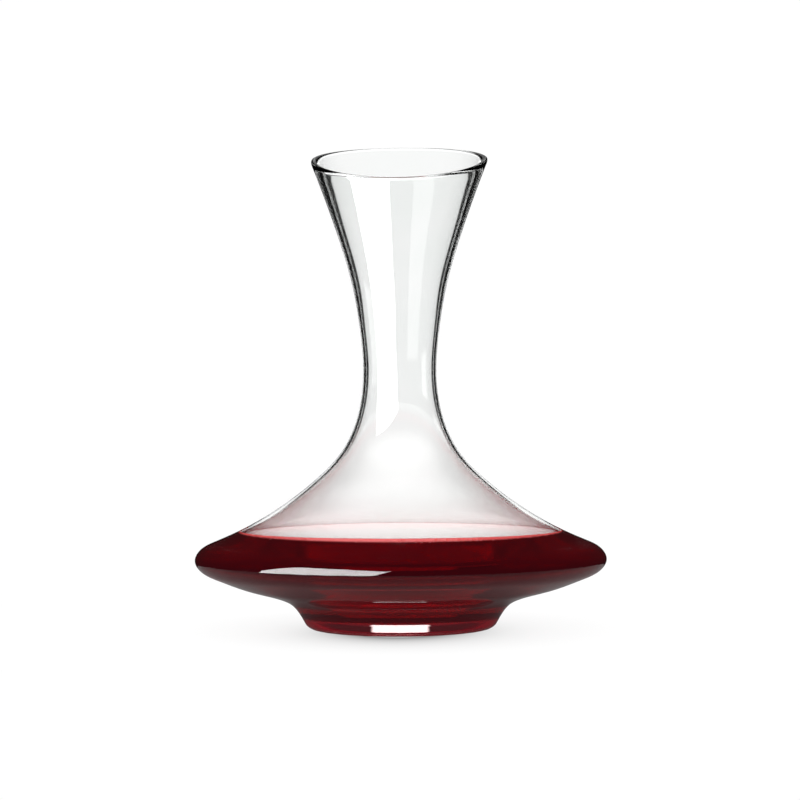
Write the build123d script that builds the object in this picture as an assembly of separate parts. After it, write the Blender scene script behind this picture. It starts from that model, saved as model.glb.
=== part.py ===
from build123d import *
import math
import os

# Wine decanter: one blown glass vessel with a slanted mouth, and the wine standing in it.
# Millimetres, +Z up. The origin is the middle of the ring that the foot stands on.
# The low side of the mouth faces -Y, and the high side, where the wine is poured, faces +Y.

# Heights and outer radii of the form
overall_height = 236.4      # top of the mouth's high side
mouth_radius = 47.3         # at the overall height
waist_height = 127.0
waist_radius = 17.8
girth_height = 33.4
girth_radius = 99.8
foot_height = 14.6          # where the foot runs into the underside of the bowl
foot_join_radius = 58.4
ring_radius = 42.1          # outer edge of the flat ring that meets the table
foot_corner = 5.0           # radius of the rounded edge above the ring
foot_lean = 29.0            # degrees that the foot's side leans outwards

# The mouth's slant
lip_drop = 20.4             # from the high side down to the low side
lip_bow = 1.5               # how far the lip line rises over its chord, seen from the side
lip_softening = 0.8         # rounding of the two polished edges

# Thickness of the glass, square to its surface
mouth_wall = 3.3
neck_wall = 2.2
waist_wall = 1.3
shoulder_wall = 1.4
girth_wall = 1.7
underside_wall = 2.0
foot_wall = 3.0

# Base
floor_edge_height = 6.6     # inside floor beside the wall
floor_rise = 2.2            # dome of the inside floor
floor_corner = 3.0          # rounding between the floor and the wall
punt_radius = 36.0          # hollow under the foot
punt_rise = 2.4

wine_level = 45.6

# Stations of the outer outline between two named places of the form:
# share of the way in radius, share of the way in height, and the glass there.
foot_stations = [(0.580, 0.784, foot_wall)]
underside_stations = [(0.448, 0.287, underside_wall), (0.766, 0.553, underside_wall), (0.942, 0.766, girth_wall)]
shoulder_stations = [
    (0.023, 0.047, girth_wall),
    (0.110, 0.092, girth_wall),
    (0.299, 0.167, shoulder_wall),
    (0.523, 0.284, shoulder_wall),
    (0.712, 0.412, shoulder_wall),
    (0.873, 0.562, shoulder_wall),
    (0.955, 0.711, waist_wall),
]
neck_stations = [
    (0.053, 0.174, waist_wall),
    (0.162, 0.347, (waist_wall + neck_wall) / 2),
    (0.461, 0.622, neck_wall),
    (0.870, 0.918, mouth_wall),
]
blank_margin = 12.0         # glass above the high side, cut away with the slant
outline_runs = 8            # each outline is turned in this many runs, so that no face is very long


def between(start, end, stations):
    """Points part of the way from start to end, with the glass at each."""
    return [
        (start[0] + out * (end[0] - start[0]), start[1] + up * (end[1] - start[1]), wall)
        for out, up, wall in stations
    ]


def outer_stations():
    """Radius, height and wall at each point outside, from above the foot's corner to above the mouth."""
    lean = math.radians(foot_lean)
    side = (ring_radius + foot_corner * math.cos(lean), foot_corner * (1 - math.sin(lean)))
    join = (foot_join_radius, foot_height)
    girth = (girth_radius, girth_height)
    waist = (waist_radius, waist_height)
    mouth = (mouth_radius, overall_height)
    below_mouth = between(waist, mouth, neck_stations)[-1]
    flare = (mouth[0] - below_mouth[0]) / (mouth[1] - below_mouth[1])
    blank_top = (mouth[0] + flare * blank_margin, mouth[1] + blank_margin, mouth_wall)
    return (
        [(*side, foot_wall)]
        + between(side, join, foot_stations)
        + [(*join, foot_wall)]
        + between(join, girth, underside_stations)
        + [(*girth, girth_wall)]
        + between(girth, waist, shoulder_stations)
        + [(*waist, waist_wall)]
        + between(waist, mouth, neck_stations)
        + [blank_top]
    )


def outer_line():
    """The outside of the glass, as one smooth curve in the XZ plane."""
    points = [(radius, 0, height) for radius, height, wall in outer_stations()]
    lean = math.radians(foot_lean)
    foot_way = Vector(math.sin(lean), 0, math.cos(lean))
    mouth_way = Vector(*points[-1]) - Vector(*points[-2])
    return Spline(*points, tangents=[foot_way, mouth_way], tangent_scalars=[1, 1])


def inner_line(outside):
    """The inside of the glass: each station moved in, square to the outside, by its wall."""
    lean = math.radians(foot_lean)
    foot_way = Vector(math.sin(lean), 0, math.cos(lean))
    side = outside.position_at(0)
    up_to_floor = floor_edge_height - side.Z
    floor_edge = side + foot_way * (up_to_floor / foot_way.Z) - Vector(foot_wall / foot_way.Z, 0, 0)
    points = [floor_edge]
    for radius, height, wall in outer_stations()[1:]:
        place = Vector(radius, 0, height)
        along = outside.tangent_at(outside.param_at_point(place))
        points.append(place + Vector(-along.Z, 0, along.X) * wall)
    mouth_way = points[-1] - points[-2]
    return Spline(*points, tangents=[foot_way, mouth_way], tangent_scalars=[1, 1])


def in_runs(line):
    """The same curve as several shorter ones, end to end."""
    shares = [run / outline_runs for run in range(outline_runs + 1)]
    return [line.trim(start, end) for start, end in zip(shares, shares[1:])]


def vessel_blank(outside):
    """Solid of the outer form, with the rounded corner, resting ring and punt of the foot."""
    start = outside.position_at(0)
    top = outside.position_at(1)
    ring_edge = Vector(ring_radius, 0, 0)
    middle_turn = math.radians(45 + foot_lean / 2)
    corner_middle = Vector(
        ring_radius + foot_corner * math.sin(middle_turn), 0, foot_corner * (1 - math.cos(middle_turn))
    )
    corner = ThreePointArc(start, corner_middle, ring_edge)
    ring = Line(ring_edge, (punt_radius, 0, 0))
    punt = shallow_dome(punt_radius, 0, punt_rise)
    axis = Line((0, 0, punt_rise), (0, 0, top.Z))
    lid = Line((0, 0, top.Z), top)
    return revolve(make_face([*in_runs(outside), corner, ring, punt, axis, lid]), Axis.Z)


def shallow_dome(radius, height, rise):
    """Arc from a point on a flat circle up to the axis, level where it crosses the axis."""
    sphere = (radius**2 + rise**2) / (2 * rise)
    half_way = Vector(radius / 2, 0, height + rise - sphere + math.sqrt(sphere**2 - radius**2 / 4))
    return ThreePointArc((radius, 0, height), half_way, (0, 0, height + rise))


def cavity(inside):
    """Solid of everything inside the glass, with a domed floor and a rounded corner beside it."""
    floor_edge = inside.position_at(0)
    top = inside.position_at(1)
    floor = shallow_dome(floor_edge.X, floor_edge.Z, floor_rise)
    axis = Line((0, 0, floor_edge_height + floor_rise), (0, 0, top.Z))
    lid = Line((0, 0, top.Z), top)
    space = revolve(make_face([*in_runs(inside), floor, axis, lid]), Axis.Z)
    rounds = space.edges().filter_by(GeomType.CIRCLE)
    corner = rounds.filter_by_position(Axis.Z, floor_edge.Z - 0.01, floor_edge.Z + 0.01)
    return fillet(corner, floor_corner)


def radius_at(line, height):
    """Radius of an outline at a height. The outline climbs all the way, so halving its span finds it."""
    low, high = 0.0, 1.0
    for step in range(40):
        middle = (low + high) / 2
        if line.position_at(middle).Z < height:
            low = middle
        else:
            high = middle
    return line.position_at(low).X


def mouth_trim(outside):
    """A long drum lying across the mouth: what is inside it is kept, so the lip is a slanted, bowed line."""
    low_height = overall_height - lip_drop
    high = Vector(0, mouth_radius, overall_height)
    low = Vector(0, -radius_at(outside, low_height), low_height)
    chord = high - low
    drum_radius = chord.length**2 / (8 * lip_bow) + lip_bow / 2
    down = Vector(0, chord.Z, -chord.Y).normalized()
    centre = (high + low) * 0.5 + down * (drum_radius - lip_bow)
    return Pos(centre.X, centre.Y, centre.Z) * Cylinder(drum_radius, 4 * girth_radius, rotation=(0, 90, 0))


def glass_vessel(outside, inside):
    glass = (vessel_blank(outside) - cavity(inside)) & mouth_trim(outside)
    lip = glass.faces().sort_by(Axis.Z)[-1].edges()
    return fillet(lip, lip_softening)


def wine(inside):
    """Everything in the glass up to the wine's level."""
    below_level = Box(3 * girth_radius, 3 * girth_radius, wine_level, align=(Align.CENTER, Align.CENTER, Align.MIN))
    return cavity(inside) & below_level


outside = outer_line()
inside = inner_line(outside)
os.makedirs("parts", exist_ok=True)
export_step(glass_vessel(outside, inside), "parts/glass_vessel.step")
export_step(wine(inside), "parts/wine.step")
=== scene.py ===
import math

import bpy
import mathutils
import numpy as np
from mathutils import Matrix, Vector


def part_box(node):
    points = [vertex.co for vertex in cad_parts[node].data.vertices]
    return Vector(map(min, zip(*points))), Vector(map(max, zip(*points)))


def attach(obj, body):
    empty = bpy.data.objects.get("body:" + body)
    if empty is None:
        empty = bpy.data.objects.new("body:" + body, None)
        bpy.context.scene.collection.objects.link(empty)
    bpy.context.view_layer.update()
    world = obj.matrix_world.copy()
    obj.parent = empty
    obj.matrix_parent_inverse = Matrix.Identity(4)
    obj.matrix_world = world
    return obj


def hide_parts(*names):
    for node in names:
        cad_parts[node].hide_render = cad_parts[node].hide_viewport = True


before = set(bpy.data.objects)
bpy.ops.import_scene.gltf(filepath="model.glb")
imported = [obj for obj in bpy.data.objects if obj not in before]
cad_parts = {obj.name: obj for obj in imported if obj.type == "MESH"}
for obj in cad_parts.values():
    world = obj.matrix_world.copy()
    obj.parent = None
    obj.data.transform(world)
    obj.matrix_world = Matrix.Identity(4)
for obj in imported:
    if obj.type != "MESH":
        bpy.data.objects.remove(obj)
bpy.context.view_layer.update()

scene = bpy.context.scene
mm = 0.001
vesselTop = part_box("glass_vessel")[1]
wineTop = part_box("wine")[1]


# Every outline is a list of (radius, height) points. These are points part of the way from start to end,
# with the name of the wall at each.
def between(start, end, stations):
    return [
        (start[0] + out * (end[0] - start[0]), start[1] + up * (end[1] - start[1]), wall)
        for out, up, wall in stations
    ]


# A unit vector the same way as the one given.
def unit(way):
    way = np.asarray(way, float)
    return way / np.linalg.norm(way, axis=-1, keepdims=True)


# The smooth cubic through the points: P(t) = h00 P0 + h10 h T0 + h01 P1 + h11 h T1 in each span of chord h,
# with the way it runs at both ends given, and the ways T between set so that the bend has no jump.
def smoothLine(points, startWay, endWay, perSpan):
    points = np.asarray(points, float)
    chord = np.linalg.norm(np.diff(points, axis=0), axis=1)
    slope = np.diff(points, axis=0) / chord[:, None]
    inner = np.arange(1, len(points) - 1)
    system = np.eye(len(points))
    system[inner, inner - 1] = chord[1:]
    system[inner, inner] = 2 * (chord[:-1] + chord[1:])
    system[inner, inner + 1] = chord[:-1]
    wanted = np.zeros_like(points)
    wanted[0] = unit(startWay)
    wanted[-1] = unit(endWay)
    wanted[1:-1] = 3 * (chord[1:, None] * slope[:-1] + chord[:-1, None] * slope[1:])
    ways = np.linalg.solve(system, wanted)
    share = np.linspace(0, 1, perSpan, endpoint=False)[None, :, None]
    rise = chord[:, None, None]
    line = (
        (2 * share**3 - 3 * share**2 + 1) * points[:-1, None]
        + (share**3 - 2 * share**2 + share) * rise * ways[:-1, None]
        + (3 * share**2 - 2 * share**3) * points[1:, None]
        + (share**3 - share**2) * rise * ways[1:, None]
    )
    return np.vstack([line.reshape(-1, 2), points[-1:]])


# The line read at places counted in its own points, so 2.5 is half way from point 2 to point 3.
def readAt(line, places):
    steps = np.arange(len(line))
    return np.stack([np.interp(places, steps, line[:, axis]) for axis in (0, 1)], axis=-1)


# Places along part of a line, closer together where it bends: even steps of length / whole length +
# turn / whole turn.
def evenPlaces(line, first, last, count):
    part = line[first:last + 1]
    run = np.diff(part, axis=0)
    length = np.linalg.norm(run, axis=1)
    heading = np.unwrap(np.arctan2(run[:, 1], run[:, 0]))
    turn = np.abs(np.diff(heading, prepend=heading[0]))
    gone = np.concatenate([[0], np.cumsum(length / length.sum() + turn / max(turn.sum(), 1e-9))])
    return first + np.interp(np.linspace(0, gone[-1], count), gone, np.arange(len(part)))


# A corner of a line rounded by an arc: P(a) = start + radius (sin a * wayIn + (1 - cos a) * left).
def roundedCorner(corner, wayIn, wayOut, radius, count):
    wayIn, wayOut = unit(wayIn), unit(wayOut)
    left = np.array([-wayIn[1], wayIn[0]])
    turn = math.atan2(wayOut @ left, wayOut @ wayIn)
    start = np.asarray(corner) - wayIn * radius * math.tan(turn / 2)
    angle = np.linspace(0, turn, count)[:, None]
    return start + radius * (np.sin(angle) * wayIn + (1 - np.cos(angle)) * left)


# A shallow dome's arc, from the axis outwards: z(r) = height + rise - sphere + sqrt(sphere^2 - r^2).
def domeLine(radius, height, rise, count):
    sphere = (radius**2 + rise**2) / (2 * rise)
    out = np.linspace(0, radius, count + 1)[1:]
    return np.stack([out, height + rise - sphere + np.sqrt(sphere**2 - out**2)], axis=1)


# A closed round form from its sections: sections[a, k] is point k of the outline at azimuth a, and
# pole points close it on the axis at both ends.
def roundMesh(name, sections, lowPole, highPole):
    turns, rows = sections.shape[:2]
    grid = np.arange(turns * rows).reshape(turns, rows)
    beside = np.roll(grid, -1, axis=0)
    quads = np.stack([grid[:, :-1], beside[:, :-1], beside[:, 1:], grid[:, 1:]], axis=-1).reshape(-1, 4)
    low, high = turns * rows, turns * rows + 1
    lowFan = np.stack([np.full(turns, low), beside[:, 0], grid[:, 0]], axis=1)
    highFan = np.stack([grid[:, -1], beside[:, -1], np.full(turns, high)], axis=1)
    vertices = np.vstack([sections.reshape(-1, 3), [lowPole, highPole]])
    mesh = bpy.data.meshes.new(name)
    mesh.from_pydata(vertices.tolist(), [], quads.tolist() + lowFan.tolist() + highFan.tolist())
    mesh.shade_smooth()
    piece = bpy.data.objects.new(name, mesh)
    scene.collection.objects.link(piece)
    return piece


# Outlines carried round the axis: (r, z) at azimuth a becomes (r cos a, r sin a, z).
def carriedRound(outlines, azimuths):
    radius, height = outlines[..., 0], outlines[..., 1]
    around = azimuths[:, None]
    return np.stack([radius * np.cos(around), radius * np.sin(around), height + 0 * around], axis=-1)


# A socket that takes part in sums: each operator adds its Math node, and node() makes any other node.
class Wire:
    def __init__(self, tree, socket=None):
        self.tree = tree
        self.socket = socket

    def node(self, kind, settings=None, sockets=None, out=0):
        made = self.tree.nodes.new(kind)
        for name, value in (settings or {}).items():
            setattr(made, name, value)
        for name, value in (sockets or {}).items():
            if isinstance(value, Wire):
                self.tree.links.new(value.socket, made.inputs[name])
            else:
                made.inputs[name].default_value = value
        return Wire(self.tree, made.outputs[out] if len(made.outputs) else None)

    def sum(self, operation, first, second):
        return self.node("ShaderNodeMath", {"operation": operation}, {0: first, 1: second})

    def __add__(self, other):
        return self.sum("ADD", self, other)

    def __radd__(self, other):
        return self.sum("ADD", other, self)

    def __sub__(self, other):
        return self.sum("SUBTRACT", self, other)

    def __rsub__(self, other):
        return self.sum("SUBTRACT", other, self)

    def __mul__(self, other):
        return self.sum("MULTIPLY", self, other)

    def __rmul__(self, other):
        return self.sum("MULTIPLY", other, self)

    def __truediv__(self, other):
        return self.sum("DIVIDE", self, other)

    def mixColour(self, low, high):
        return self.node(
            "ShaderNodeMix", {"data_type": "RGBA"}, {0: self, 6: low, 7: high}, out=2
        )


white = (1, 1, 1, 1)
black = (0, 0, 0, 1)


def newMaterial(name):
    material = bpy.data.materials.new(name)
    material.use_nodes = True
    material.node_tree.nodes.clear()
    return material, Wire(material.node_tree)


def noise(shade, where, scale, detail=2.0, roughness=0.5):
    return shade.node(
        "ShaderNodeTexNoise",
        {},
        {"Vector": where, "Scale": scale, "Detail": detail, "Roughness": roughness},
    )


# Share from 0 at low to 1 at high, with soft ends.
def softStep(shade, value, low, high):
    return shade.node(
        "ShaderNodeMapRange",
        {"interpolation_type": "SMOOTHSTEP"},
        {"Value": value, "From Min": low, "From Max": high},
    )


glassFinish = {
    "ior": 1.5,
    "thinTint": (0.992, 0.996, 0.993, 1),    # clear soda glass
    "thickTint": (0.970, 0.984, 0.976, 1),   # where the melt is a little greener
    "tintScale": 16,
    "tintEdges": (0.35, 0.65),
    "cloudScale": 55,                        # faint handling marks
    "cloudEdges": (0.55, 0.85),
    "cloudRoughness": 0.012,
    "waveScale": 22,                         # slow ripples of the blown wall
    "waveHeight": 0.000003,
}


# Clear glass. Where wine lies against it, the wall hardly reflects, so its finish there has a black tint.
def blownGlass(name, specularTint):
    material, shade = newMaterial(name)
    place = shade.node("ShaderNodeTexCoord", out="Object")
    tint = softStep(shade, noise(shade, place, glassFinish["tintScale"]), *glassFinish["tintEdges"])
    clouds = noise(shade, place, glassFinish["cloudScale"], 4.0, 0.6)
    marks = softStep(shade, clouds, *glassFinish["cloudEdges"])
    ripple = noise(shade, place, glassFinish["waveScale"], 1.0)
    bump = shade.node(
        "ShaderNodeBump", {}, {"Height": ripple, "Strength": 1.0, "Distance": glassFinish["waveHeight"]}
    )
    surface = shade.node(
        "ShaderNodeBsdfPrincipled",
        {},
        {
            "Base Color": tint.mixColour(glassFinish["thinTint"], glassFinish["thickTint"]),
            "Roughness": marks * glassFinish["cloudRoughness"],
            "IOR": glassFinish["ior"],
            "Specular Tint": specularTint,
            "Transmission Weight": 1.0,
            "Normal": bump,
        },
    )
    shade.node("ShaderNodeOutputMaterial", {}, {"Surface": surface})
    return material


wineFinish = {
    "ior": 1.34,
    "thinColour": (0.74, 0.33, 0.33, 1),
    "deepColour": (0.66, 0.26, 0.28, 1),
    "swirlScale": 30,
    "swirlEdges": (0.3, 0.7),
    "absorbColour": (0.83, 0.14, 0.24, 1),   # what the wine lets through, red most
    "absorbDensity": 90,
    "surfaceRoughness": 0.004,
    "paintedBodyGlow": (0.030, 0.0016, 0.0034, 1),   # painted glow over every wine surface, standing in for the little light that the wine's body scatters back
    "paintedEdgeGlow": (0.34, 0.060, 0.060, 1),           # and a brighter painted glow along the thin edge, standing in for the far greater light it lets out
    "edgeGlowFrom": 0.0002,                             # over the wine's level
    "edgeGlowTo": 0.0010,
}


def redWine():
    material, shade = newMaterial("redWine")
    place = shade.node("ShaderNodeTexCoord", out="Object")
    swirl = softStep(shade, noise(shade, place, wineFinish["swirlScale"], 3.0), *wineFinish["swirlEdges"])
    # Where the painted edge glow takes over: none at the wine's level, all of it a little over it, on the
    # wine drawn up the glass.
    height = shade.node("ShaderNodeSeparateXYZ", {}, {0: place}, out="Z") - wineTop.z
    edge = softStep(shade, height, wineFinish["edgeGlowFrom"], wineFinish["edgeGlowTo"])
    surface = shade.node(
        "ShaderNodeBsdfPrincipled",
        {},
        {
            "Base Color": swirl.mixColour(wineFinish["thinColour"], wineFinish["deepColour"]),
            "Roughness": swirl * wineFinish["surfaceRoughness"],
            "IOR": wineFinish["ior"],
            "Specular Tint": black,
            "Transmission Weight": 1.0,
            # Painted glow, not a lamp: faint over the whole wine, bright along its edge.
            "Emission Color": edge.mixColour(wineFinish["paintedBodyGlow"], wineFinish["paintedEdgeGlow"]),
            "Emission Strength": 1.0,
        },
    )
    body = shade.node(
        "ShaderNodeVolumeAbsorption",
        {},
        {"Color": wineFinish["absorbColour"], "Density": wineFinish["absorbDensity"]},
    )
    shade.node("ShaderNodeOutputMaterial", {}, {"Surface": surface, "Volume": body})
    return material


bubbleFinish = {
    "paleColour": (0.97, 0.90, 0.88, 1),
    "redColour": (0.80, 0.42, 0.42, 1),
    "blotchScale": 900,
    "blotchEdges": (0.4, 0.65),
    "smoothest": 0.08,
    "roughMore": 0.12,
    "ior": 1.33,
    "clearness": 0.55,
}


def wineBubble():
    material, shade = newMaterial("wineBubble")
    place = shade.node("ShaderNodeTexCoord", out="Object")
    blotch = softStep(shade, noise(shade, place, bubbleFinish["blotchScale"]), *bubbleFinish["blotchEdges"])
    surface = shade.node(
        "ShaderNodeBsdfPrincipled",
        {},
        {
            "Base Color": blotch.mixColour(bubbleFinish["paleColour"], bubbleFinish["redColour"]),
            "Roughness": bubbleFinish["smoothest"] + blotch * bubbleFinish["roughMore"],
            "IOR": bubbleFinish["ior"],
            "Transmission Weight": bubbleFinish["clearness"],
        },
    )
    shade.node("ShaderNodeOutputMaterial", {}, {"Surface": surface})
    return material


# Sizes of the glass, in metres.
vesselShape = {
    "overallHeight": 0.2364,
    "mouthRadius": 0.0473,
    "waistHeight": 0.127,
    "waistRadius": 0.0178,
    "girthRadius": vesselTop.x,
    "girthHeight": 0.0334,
    "footHeight": 0.0146,
    "footJoinRadius": 0.0584,
    "ringRadius": 0.0421,
    "footCorner": 0.005,
    "footLean": math.radians(29),
    "lipDrop": 0.0204,        # the front of the mouth is this much lower than the back
    "lipBow": 0.0015,
    "lipSoftening": 0.0015,
    "floorEdgeHeight": 0.0066,
    "floorRise": 0.0022,
    "floorCorner": 0.003,
    "puntRadius": 0.036,
    "puntRise": 0.0024,
    "puntEdgeRadius": 0.0096,
    "puntWaver": 0.0003,      # hand-finished, so its hollow isn't quite even
    "puntSwings": [(5, 1), (9, 4), (16, 2)],    # swings in a turn, and where each starts
    "cornerWaver": 0.00022,   # nor is the corner round it
    "cornerSwings": [(37, 5), (23, -4)],        # swings in a turn, and how far each leans
}
vesselWall = {
    "mouth": 0.0033,
    "neck": 0.0022,
    "waist": 0.0013,
    "shoulder": 0.0014,
    "girth": 0.0017,
    "underside": 0.0020,
    "foot": 0.0030,
}
# Where the outline passes between two named places: shares of the way out and up, and the wall there.
vesselStations = {
    "foot": [(0.580, 0.784, "foot")],
    "underside": [(0.448, 0.287, "underside"), (0.766, 0.553, "underside"), (0.942, 0.766, "girth")],
    "shoulder": [
        (0.023, 0.047, "girth"),
        (0.110, 0.092, "girth"),
        (0.299, 0.167, "shoulder"),
        (0.523, 0.284, "shoulder"),
        (0.712, 0.412, "shoulder"),
        (0.873, 0.562, "shoulder"),
        (0.955, 0.711, "waist"),
    ],
    "neck": [
        (0.053, 0.174, "waist"),
        (0.162, 0.347, "narrow"),
        (0.461, 0.622, "neck"),
        (0.870, 0.918, "mouth"),
    ],
}
vesselDetail = {
    "turns": 232,             # points round the axis
    "perSpan": 60,            # points of an outline between two stations, before it is thinned
    "lowerRows": 84,          # rows from the foot up to the waist, each side of the wall
    "upperRows": 44,          # rows from the waist up to the lip, each side of the wall
    "lipRows": 7,
    "floorPoints": 40,
    "floorCornerPoints": 12,
    "puntPoints": 24,
    "puntEdgePoints": 5,
    "footCornerPoints": 10,
    "aboveMouth": 12 * mm,    # the outline runs on this far, for the cut to meet it
    "aboveFloor": 0.4 * mm,   # least step from the floor's corner to the wall's first row
    "gapBeforeCorner": 0.5 * mm,
    "gapBeforePuntEdge": 0.3 * mm,
}


def wallAt(name):
    if name == "narrow":
        return (vesselWall["waist"] + vesselWall["neck"]) / 2
    return vesselWall[name]


# Radius, height and wall at each point outside, from above the foot's corner to above the mouth.
def outerStations():
    shape = vesselShape
    lean = shape["footLean"]
    corner = shape["footCorner"]
    side = (shape["ringRadius"] + corner * math.cos(lean), corner * (1 - math.sin(lean)))
    join = (shape["footJoinRadius"], shape["footHeight"])
    girth = (shape["girthRadius"], shape["girthHeight"])
    waist = (shape["waistRadius"], shape["waistHeight"])
    mouth = (shape["mouthRadius"], shape["overallHeight"])
    neck = between(waist, mouth, vesselStations["neck"])
    flare = (mouth[0] - neck[-1][0]) / (mouth[1] - neck[-1][1])
    aboveMouth = vesselDetail["aboveMouth"]
    stations = (
        [(*side, "foot")]
        + between(side, join, vesselStations["foot"])
        + [(*join, "foot")]
        + between(join, girth, vesselStations["underside"])
        + [(*girth, "girth")]
        + between(girth, waist, vesselStations["shoulder"])
        + [(*waist, "waist")]
        + neck
        + [(mouth[0] + flare * aboveMouth, mouth[1] + aboveMouth, "mouth")]
    )
    places = np.array([(radius, height) for radius, height, wall in stations])
    walls = np.array([wallAt(wall) for radius, height, wall in stations])
    return places, walls


# The outside and the inside of the glass. The inside is each station moved in by its wall, square to
# the outside.
def vesselLines():
    places, walls = outerStations()
    lean = vesselShape["footLean"]
    footWay = np.array([math.sin(lean), math.cos(lean)])
    perSpan = vesselDetail["perSpan"]
    outside = smoothLine(places, footWay, places[-1] - places[-2], perSpan)
    along = unit(np.gradient(outside, axis=0))[::perSpan]
    inward = np.stack([-along[:, 1], along[:, 0]], axis=1)
    moved = places + inward * walls[:, None]
    upToFloor = vesselShape["floorEdgeHeight"] - places[0, 1]
    moved[0] = places[0] + footWay * upToFloor / footWay[1] - [vesselWall["foot"] / footWay[1], 0]
    inside = smoothLine(moved, footWay, moved[-1] - moved[-2], perSpan)
    return outside, inside


outerLine, innerLine = vesselLines()


# Height of the cut through the mouth at a place: a long drum of radius R lies across it along X, and
# z(y) = zc + sqrt(R^2 - (y - yc)^2).
def cutHeight(across):
    shape = vesselShape
    lowHeight = shape["overallHeight"] - shape["lipDrop"]
    lowRadius = np.interp(lowHeight, outerLine[:, 1], outerLine[:, 0])
    high = np.array([shape["mouthRadius"], shape["overallHeight"]])
    low = np.array([-lowRadius, lowHeight])
    chord = high - low
    drum = (chord @ chord) / (8 * shape["lipBow"]) + shape["lipBow"] / 2
    down = unit([chord[1], -chord[0]])
    centre = (high + low) / 2 + down * (drum - shape["lipBow"])
    return centre[1] + np.sqrt(drum**2 - (across - centre[0]) ** 2)


# Where a line meets the cut at each azimuth, counted in the line's points.
def cutPlaces(line, azimuths):
    over = line[None, :, 1] - cutHeight(line[None, :, 0] * np.sin(azimuths)[:, None])
    after = np.argmax(over > 0, axis=1)
    rows = np.arange(len(azimuths))
    below, above = over[rows, after - 1], over[rows, after]
    return after - 1 + below / (below - above)


# Each wall's rows: the same for every azimuth up to the waist, then stretched up to the lip.
def wallRows(line, firstPlace, lastPlaces):
    waist = int(np.argmin(np.abs(line[:, 1] - vesselShape["waistHeight"])))
    lower = evenPlaces(line, firstPlace, waist, vesselDetail["lowerRows"])
    share = np.linspace(0, 1, vesselDetail["upperRows"] + 1)[1:]
    upper = waist + share[None, :] * (lastPlaces[:, None] - waist)
    return readAt(line, np.hstack([np.tile(lower, (len(lastPlaces), 1)), upper]))


# A lip's rounded edge: the curve (1-t)^2 A + 2 t (1-t) corner + t^2 B, without its two ends.
def softEdge(start, corner, end, count):
    share = np.linspace(0, 1, count + 2)[1:-1][None, :, None]
    start, corner, end = start[:, None], corner[:, None], end[:, None]
    return (1 - share) ** 2 * start + 2 * share * (1 - share) * corner + share**2 * end


# The cavity's floor: a low dome, then the rounded corner beside the wall.
def cavityFloor():
    shape = vesselShape
    edge = innerLine[0]
    dome = domeLine(edge[0], edge[1], shape["floorRise"], vesselDetail["floorPoints"])
    corner = roundedCorner(
        edge,
        dome[-1] - dome[-2],
        innerLine[1] - innerLine[0],
        shape["floorCorner"],
        vesselDetail["floorCornerPoints"],
    )
    return np.vstack([dome[dome[:, 0] < corner[0, 0] - vesselDetail["gapBeforeCorner"]], corner])


# The first row of the wall above the cavity's floor, counted in the line's points.
def wallStart(floor):
    return int(np.argmax(innerLine[:, 1] > floor[-1, 1] + vesselDetail["aboveFloor"]))


# The underside: the punt, its soft edge, the ring that the glass stands on, and the foot's corner.
def baseLine():
    shape = vesselShape
    punt = domeLine(shape["puntRadius"], 0, shape["puntRise"], vesselDetail["puntPoints"])
    ringEdge = np.array([shape["puntRadius"], 0.0])
    soft = roundedCorner(
        ringEdge, punt[-1] - punt[-2], [1, 0], shape["puntEdgeRadius"], vesselDetail["puntEdgePoints"]
    )
    keep = punt[punt[:, 0] < soft[0, 0] - vesselDetail["gapBeforePuntEdge"]]
    ring = np.array([[(shape["puntRadius"] + shape["ringRadius"]) / 2, 0.0]])
    turn = np.linspace(0, math.pi / 2 - shape["footLean"], vesselDetail["footCornerPoints"])
    corner = np.stack(
        [
            shape["ringRadius"] + shape["footCorner"] * np.sin(turn),
            shape["footCorner"] * (1 - np.cos(turn)),
        ],
        axis=1,
    )
    return np.vstack([keep, soft, ring, corner[:-1]])


# The punt's and the corner's unevenness: the sum of sin(swings * a + start) / 2 over their swings.
def unevenBase(azimuths):
    shape = vesselShape
    base = np.tile(baseLine()[None], (len(azimuths), 1, 1))
    out = np.clip(base[..., 0] / shape["puntRadius"], 0, 1)
    puntSwing = sum(np.sin(swings * azimuths + start) for swings, start in shape["puntSwings"]) / 2
    base[..., 1] += shape["puntWaver"] * 4 * out**2 * (1 - out) * puntSwing[:, None]
    share = np.linspace(0, 1, vesselDetail["footCornerPoints"])[None, 1:]
    around = azimuths[:, None]
    cornerSwing = sum(np.sin(swings * around + lean * share) for swings, lean in shape["cornerSwings"]) / 2
    base[:, -share.shape[1]:, 0] -= shape["cornerWaver"] * np.sin(math.pi * share) * (1 + cornerSwing)
    return base


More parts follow.
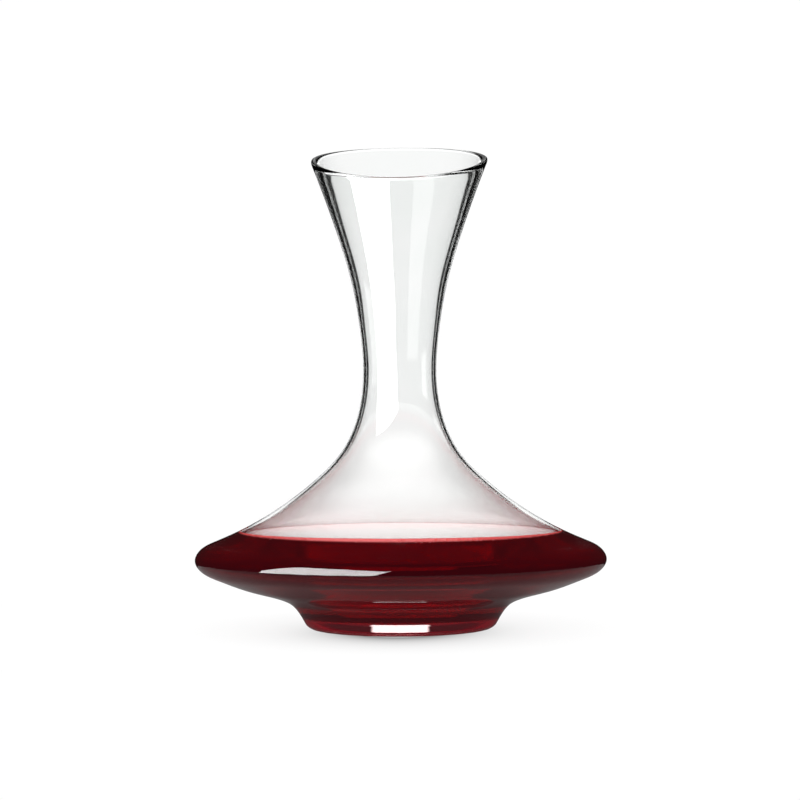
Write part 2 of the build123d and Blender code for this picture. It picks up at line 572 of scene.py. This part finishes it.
def glassVessel():
    azimuths = np.linspace(0, 2 * math.pi, vesselDetail["turns"], endpoint=False)
    shape = vesselShape
    soft = shape["lipSoftening"]
    outerCut = cutPlaces(outerLine, azimuths)
    innerCut = cutPlaces(innerLine, azimuths)
    outerCorner, innerCorner = readAt(outerLine, outerCut), readAt(innerLine, innerCut)
    stepOut = np.linalg.norm(outerLine[-1] - outerLine[-2])
    stepIn = np.linalg.norm(innerLine[-1] - innerLine[-2])
    outerEnd = outerCut - soft / stepOut
    innerEnd = innerCut - soft / stepIn
    face = unit(innerCorner - outerCorner)
    faceStart, faceEnd = outerCorner + face * soft, innerCorner - face * soft
    floor = cavityFloor()
    outer = wallRows(outerLine, 0, outerEnd)
    inner = wallRows(innerLine, wallStart(floor), innerEnd)
    outlines = np.concatenate(
        [
            unevenBase(azimuths),
            outer,
            softEdge(outer[:, -1], outerCorner, faceStart, vesselDetail["lipRows"]),
            faceStart[:, None],
            (faceStart[:, None] + faceEnd[:, None]) / 2,
            faceEnd[:, None],
            softEdge(faceEnd, innerCorner, inner[:, -1], vesselDetail["lipRows"]),
            inner[:, ::-1],
            np.tile(floor[None, ::-1], (len(azimuths), 1, 1)),
        ],
        axis=1,
    )
    floorTop = shape["floorEdgeHeight"] + shape["floorRise"]
    sections = carriedRound(outlines, azimuths)
    piece = roundMesh("glassVessel", sections, (0, 0, shape["puntRise"]), (0, 0, floorTop))
    # The second finish goes where the wine lies against the glass.
    insideRows = np.arange(outlines.shape[1]) >= outlines.shape[1] - inner.shape[1] - len(floor)
    wetPoint = insideRows[None] & (outlines[..., 1] < edgeHeight(azimuths)[:, None])
    wetFace = wetPoint[:, :-1] & wetPoint[:, 1:]
    fans = np.repeat([False, True], len(azimuths))
    finish = np.concatenate([wetFace.ravel(), fans]).astype(np.int32)
    piece.data.polygons.foreach_set("material_index", finish)
    return piece


wineShape = {
    "level": wineTop.z,
    "creepUp": 0.15 * mm,       # how far the wine's edge draws itself up the sloping glass
    "creepMore": 2.0 * mm,     # and how much further at the front, where it was last tipped
    "creepIn": 4.0 * mm,
    "intoGlass": 0.1 * mm,     # the wine's side lies this deep in the wall, so that no gap of air shows
    "turns": 224,
    "wallRows": 90,
    "nearEdge": 2.0 * mm,      # the rows over this much below the level follow the edge up
    "edgeRows": 12,
    "creepRows": 14,
    "topRows": 12,
}


# Height of the wine's edge on the glass: level + creepUp + creepMore ((1 - sin a) / 2)^2.
def edgeHeight(azimuths):
    front = (1 - np.sin(azimuths)) / 2
    return wineShape["level"] + wineShape["creepUp"] + wineShape["creepMore"] * front**2


# Where the inside of the glass is at a height, counted in the line's points.
def innerPlace(height):
    return np.interp(height, innerLine[:, 1], np.arange(len(innerLine)))


def wineBody():
    shape = wineShape
    azimuths = np.linspace(0, 2 * math.pi, shape["turns"], endpoint=False)
    everyWay = (len(azimuths), 1, 1)
    floor = cavityFloor()
    nearLevel = int(innerPlace(shape["level"] - shape["nearEdge"]))
    lower = readAt(innerLine, evenPlaces(innerLine, wallStart(floor), nearLevel, shape["wallRows"]))
    share = np.linspace(0, 1, shape["edgeRows"] + 1)[1:]
    upper = readAt(innerLine, nearLevel + share * (innerPlace(edgeHeight(azimuths)) - nearLevel)[:, None])
    side = np.concatenate([np.tile(np.vstack([floor, lower])[None], everyWay), upper], axis=1)
    along = unit(np.gradient(side, axis=1))
    side = side + np.stack([along[..., 1], -along[..., 0]], axis=-1) * shape["intoGlass"]
    levelRadius = readAt(innerLine, innerPlace(shape["level"]))[0]
    corner = np.array([levelRadius, shape["level"]])
    inwards = np.array([levelRadius - shape["creepIn"], shape["level"]])
    share = np.linspace(0, 1, shape["creepRows"] + 1)[None, 1:, None]
    creep = (1 - share) ** 2 * side[:, -1:] + 2 * share * (1 - share) * corner + share**2 * inwards
    rows = shape["topRows"]
    flat = np.stack([np.linspace(inwards[0], 0, rows + 2)[1:-1], np.full(rows, shape["level"])], axis=1)
    outlines = np.concatenate([side, creep, np.tile(flat[None], everyWay)], axis=1)
    floorTop = vesselShape["floorEdgeHeight"] + vesselShape["floorRise"] - shape["intoGlass"]
    return roundMesh("wineBody", carriedRound(outlines, azimuths), (0, 0, floorTop), (0, 0, shape["level"]))


# Bubbles where the wine meets the glass.
bubbleShape = {
    "count": 520,
    "seed": 11,
    "smallest": 0.25 * mm,
    "largest": 0.80 * mm,
    "mostlySmall": 2.5,        # a higher power leaves fewer large ones
    "clusters": [-1.22, 0.55, 0.98],      # turns from the front, in radians, where they gather
    "clusterShares": [0.3, 0.3, 0.4],
    "clusterSpread": 0.28,
    "climb": (0.1, 0.8),       # how far up the wine's edge they sit
    "offGlass": 1.6,           # in bubble radii
    "fromGlass": 0.9 * mm,
    "sunk": 0.3,               # in bubble radii
    "sides": 8,
    "bands": 5,
}


# Small balls set in a ring. One ball is (sin b cos a, sin b sin a, cos b), and each is scaled and moved.
def wineBubbles():
    shape = bubbleShape
    chance = np.random.default_rng(shape["seed"])
    count = shape["count"]
    cluster = chance.choice(shape["clusters"], count, p=shape["clusterShares"])
    azimuth = cluster - math.pi / 2 + chance.normal(0, shape["clusterSpread"], count)
    large = chance.random(count) ** shape["mostlySmall"]
    size = shape["smallest"] + (shape["largest"] - shape["smallest"]) * large
    climb = shape["climb"][0] + (shape["climb"][1] - shape["climb"][0]) * chance.random(count)
    height = wineShape["level"] + (edgeHeight(azimuth) - wineShape["level"]) * climb
    wall = readAt(innerLine, innerPlace(height))[:, 0]
    radius = wall - size * shape["offGlass"] - shape["fromGlass"] * chance.random(count)
    across = np.linspace(0, 2 * math.pi, shape["sides"], endpoint=False)
    down = np.linspace(0, math.pi, shape["bands"] + 1)[1:-1]
    ball = np.stack(
        [
            np.outer(np.sin(down), np.cos(across)).ravel(),
            np.outer(np.sin(down), np.sin(across)).ravel(),
            np.repeat(np.cos(down), len(across)),
        ],
        axis=1,
    )
    ball = np.vstack([ball, [(0, 0, 1), (0, 0, -1)]])
    rows, sides = len(down), shape["sides"]
    grid = np.arange(rows * sides).reshape(rows, sides)
    beside = np.roll(grid, -1, axis=1)
    quads = np.stack([grid[:-1], grid[1:], beside[1:], beside[:-1]], axis=-1).reshape(-1, 4)
    top, bottom = rows * sides, rows * sides + 1
    topFan = np.stack([np.full(sides, top), grid[0], beside[0]], axis=1)
    bottomFan = np.stack([np.full(sides, bottom), beside[-1], grid[-1]], axis=1)
    centre = np.stack(
        [radius * np.cos(azimuth), radius * np.sin(azimuth), height - shape["sunk"] * size], axis=1
    )
    vertices = (centre[:, None] + ball[None] * size[:, None, None]).reshape(-1, 3)
    shift = np.arange(count)[:, None, None] * len(ball)
    allQuads = (quads[None] + shift).reshape(-1, 4)
    allFans = (np.vstack([topFan, bottomFan])[None] + shift).reshape(-1, 3)
    mesh = bpy.data.meshes.new("wineBubbles")
    mesh.from_pydata(vertices.tolist(), [], allQuads.tolist() + allFans.tolist())
    mesh.shade_smooth()
    piece = bpy.data.objects.new("wineBubbles", mesh)
    scene.collection.objects.link(piece)
    return piece


studio = {
    "tableRadius": 0.24,
    "tableTurns": 128,
    "tableDrop": 0.0001,
    "tableGlow": 0.96,
    "tableColour": (0.08, 0.08, 0.08, 1),
    "tableRoughness": 0.9,
    "shadedTableInGlass": 0.17,                  # how bright the table is in what the glass reflects: a painted shade, far dimmer than to the eye
    "footShadeInGlass": 0.35,                   # and how much of that is left close to the foot, a painted shade there
    "footShadeSpan": (0.050, 0.080),
    "shadeUnderBowl": (0.070, 0.115),           # painted shade under the bowl in what is seen through the glass: dim within the first radius, bright past the second
    "shadeUnderBowlGlow": 0.15,
    "shadowDepth": 0.74,
    "shadowBack": -0.016,                  # the foot's painted shadow falls a little to the front
    "shadowStretch": 1.30,
    "shadowRadius": 0.030,
    "shadowFade": 0.020,
    "shadowFadeUnder": 0.006,
    "background": 1.0,
    "screens": [
        # azimuth, half angle, and the sines of the elevation where the white starts and ends
        (92, 11.2, -1.2, 0.38),
        (180, 11.0, -0.22, 0.090),
        (135, 18.0, -1.2, -0.28),
        (-45, 18.0, -1.2, -0.10),
    ],
    "screenEdge": 1.0,                     # half the soft edge at their sides, in degrees
    "screenFade": 0.03,                    # and at their top and bottom, as a sine
    "lipScreen": (92.4, 6.0, 0.24, 0.48),  # a small white card above the first, which only the lip mirrors
    "lipScreenGlow": 0.25,
    "wineGlint": 0.85,                     # what lights the wine's top at a low angle
    "screenGlow": 1.04,
    "lowerGlow": 0.22,                     # the screen is this much brighter below the eye's height
    "lowerGlowFrom": (0.035, 0.062),
    "roomLight": 0.9,
    "darkRoom": 0.008,
    "softboxAway": 0.45,
    "softboxAngle": math.radians(-40),
    "softboxLean": math.radians(13),
    "softboxWide": 0.55,
    "softboxLow": -0.24,
    "softboxHigh": 0.42,
    "softboxBrightness": 14,
}


# From low, where the share is 0, up to 1.
def risen(low, share):
    return low + (1 - low) * share


def paleTable():
    material, shade = newMaterial("paleTable")
    place = shade.node("ShaderNodeTexCoord", out="Object")
    x = shade.node("ShaderNodeSeparateXYZ", {}, {0: place}, out="X")
    y = shade.node("ShaderNodeSeparateXYZ", {}, {0: place}, out="Y")
    # Painted shadow: the table's glow is darkened in a soft ring round the foot, as the eye sees it.
    across = x * studio["shadowStretch"]
    back = y - studio["shadowBack"]
    away = shade.sum("POWER", across * across + back * back, 0.5) - studio["shadowRadius"]
    outside = shade.sum("MAXIMUM", away, 0.0) / studio["shadowFade"]
    under = shade.sum("MAXIMUM", 0 - away, 0.0) / studio["shadowFadeUnder"]
    shadow = studio["shadowDepth"] * shade.sum("POWER", math.e, 0 - (outside + under))
    radius = shade.sum("POWER", x * x + y * y, 0.5)
    # Painted shade under the bowl in what is seen through the glass: clear is dim there.
    clear = risen(studio["shadeUnderBowlGlow"], softStep(shade, radius, *studio["shadeUnderBowl"]))
    # Painted shade in reflections close to the foot.
    paintedFootShade = risen(studio["footShadeInGlass"], softStep(shade, radius, *studio["footShadeSpan"]))
    direct = shade.node("ShaderNodeLightPath", out="Is Camera Ray")
    mirrored = shade.node("ShaderNodeLightPath", out="Is Reflection Ray")
    seen = direct * (1 - shadow)
    # Painted shade: in what the glass reflects, the table is far dimmer than to the eye, and dimmer still
    # by the foot.
    shadedInGlass = mirrored * studio["shadedTableInGlass"] * paintedFootShade
    glow = seen + shadedInGlass + (1 - direct) * (1 - mirrored) * clear
    surface = shade.node(
        "ShaderNodeBsdfPrincipled",
        {},
        {
            "Base Color": studio["tableColour"],
            "Roughness": studio["tableRoughness"],
            "Specular IOR Level": 0.0,
            "Emission Color": glow.mixColour(black, white),
            "Emission Strength": studio["tableGlow"],
        },
    )
    shade.node("ShaderNodeOutputMaterial", {}, {"Surface": surface})
    return material


def buildTable():
    turns = studio["tableTurns"]
    around = np.linspace(0, 2 * math.pi, turns, endpoint=False)
    rim = np.stack([np.cos(around), np.sin(around)], axis=1) * studio["tableRadius"]
    vertices = np.vstack([np.pad(rim, ((0, 0), (0, 1))), [(0, 0, 0)]]) - [0, 0, studio["tableDrop"]]
    grid = np.arange(turns)
    faces = np.stack([np.full(turns, turns), grid, np.roll(grid, -1)], axis=1)
    mesh = bpy.data.meshes.new("table")
    mesh.from_pydata(vertices.tolist(), [], faces.tolist())
    table = bpy.data.objects.new("table", mesh)
    mesh.materials.append(paleTable())
    scene.collection.objects.link(table)


rayFacts = [
    "Is Camera Ray",
    "Is Transmission Ray",
    "Is Reflection Ray",
    "Is Diffuse Ray",
    "Glossy Depth",
    "Transmission Depth",
]


# The air round the table: white to the eye, white screens and dark cloth through the glass, a dark room in
# what the glass reflects.
def buildAir():
    world = bpy.data.worlds.new("studioAir")
    scene.world = world
    world.use_nodes = True
    world.node_tree.nodes.clear()
    shade = Wire(world.node_tree)
    way = shade.node("ShaderNodeTexCoord", out="Generated")
    x = shade.node("ShaderNodeSeparateXYZ", {}, {0: way}, out="X")
    y = shade.node("ShaderNodeSeparateXYZ", {}, {0: way}, out="Y")
    z = shade.node("ShaderNodeSeparateXYZ", {}, {0: way}, out="Z")
    flat = shade.sum("MAXIMUM", shade.sum("POWER", x * x + y * y, 0.5), 0.001)

    def screen(azimuth, halfAngle):
        turn = math.radians(azimuth)
        edge = studio["screenEdge"]
        ends = [math.cos(math.radians(halfAngle + step)) for step in (edge, -edge)]
        return softStep(shade, (x * math.cos(turn) + y * math.sin(turn)) / flat, *ends)

    def whiteCard(azimuth, halfAngle, bottom, top):
        fade = studio["screenFade"]
        overBottom = softStep(shade, z, bottom - fade, bottom + fade)
        underTop = 1 - softStep(shade, z, top - fade, top + fade)
        return screen(azimuth, halfAngle) * overBottom * underTop

    through = sum(whiteCard(*size) for size in studio["screens"])
    lower = softStep(shade, 0 - z, *studio["lowerGlowFrom"])
    through = through * (studio["screenGlow"] + studio["lowerGlow"] * lower)
    mirrored = whiteCard(*studio["lipScreen"])
    light = {name: shade.node("ShaderNodeLightPath", out=name) for name in rayFacts}
    outside = 1 - shade.sum("MINIMUM", light["Transmission Depth"], 1.0)
    glint = 1 + studio["wineGlint"] * shade.sum("MINIMUM", light["Glossy Depth"], 1.0)
    strength = (
        light["Is Camera Ray"] * studio["background"]
        + light["Is Transmission Ray"] * through * glint
        + light["Is Reflection Ray"] * outside * mirrored * studio["lipScreenGlow"]
        + light["Is Diffuse Ray"] * studio["roomLight"]
        + studio["darkRoom"]
    )
    air = shade.node("ShaderNodeBackground", {}, {"Color": white, "Strength": strength})
    shade.node("ShaderNodeOutputWorld", {}, {"Surface": air})


def buildSoftbox():
    wide, high = studio["softboxWide"], studio["softboxHigh"] - studio["softboxLow"]
    lamp = bpy.data.lights.new("softbox", "AREA")
    lamp.shape = "RECTANGLE"
    lamp.size = wide
    lamp.size_y = high
    lamp.energy = studio["softboxBrightness"] * math.pi * wide * high
    softbox = bpy.data.objects.new("softbox", lamp)
    angle = studio["softboxAngle"]
    away = studio["softboxAway"]
    softbox.location = (
        away * math.sin(angle), -away * math.cos(angle), (studio["softboxLow"] + studio["softboxHigh"]) / 2
    )
    softbox.rotation_mode = "XYZ"
    facing = mathutils.Euler((math.radians(90), 0, angle)).to_matrix()
    softbox.rotation_euler = (facing @ mathutils.Matrix.Rotation(-studio["softboxLean"], 3, "Z")).to_euler()
    softbox.visible_diffuse = False
    softbox.visible_transmission = False
    softbox.visible_camera = False
    scene.collection.objects.link(softbox)


cameraSetup = {
    "away": 1.35,
    "height": 0.135,
    "sideways": math.radians(2.4),
    "pitch": math.radians(-1.03),
    "roll": math.radians(0.28),
    "lens": 125.2,
    "sensor": 36,
    "clip": (0.05, 50),
}


def buildCamera():
    setup = cameraSetup
    camera = bpy.data.objects.new("camera", bpy.data.cameras.new("camera"))
    camera.data.lens = setup["lens"]
    camera.data.sensor_width = setup["sensor"]
    away, sideways = setup["away"], setup["sideways"]
    camera.location = (away * math.sin(sideways), -away * math.cos(sideways), setup["height"])
    camera.rotation_mode = "XYZ"
    base = mathutils.Euler((math.radians(90) + setup["pitch"], 0, sideways)).to_matrix()
    turn = mathutils.Matrix.Rotation(-setup["roll"], 3, "Z")
    camera.rotation_euler = (base @ turn).to_euler()
    camera.data.clip_start, camera.data.clip_end = setup["clip"]
    scene.collection.objects.link(camera)
    scene.camera = camera


buildCamera()
print("camera placed")
buildTable()
buildAir()
buildSoftbox()
print("studio built")

vessel = glassVessel()
vessel.data.materials.append(blownGlass("blownGlass", white))
vessel.data.materials.append(blownGlass("blownGlassAtWine", black))
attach(vessel, "root")
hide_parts("glass_vessel")
print("glass vessel built")

body = wineBody()
body.data.materials.append(redWine())
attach(body, "root")
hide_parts("wine")
print("wine built")

bubbles = wineBubbles()
bubbles.data.materials.append(wineBubble())
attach(bubbles, "root")
print("bubbles built")

scene.view_settings.view_transform = "Standard"
scene.cycles.use_denoising = True
scene.cycles.max_bounces = 32
scene.cycles.transmission_bounces = 32
scene.cycles.glossy_bounces = 16
scene.cycles.diffuse_bounces = 3
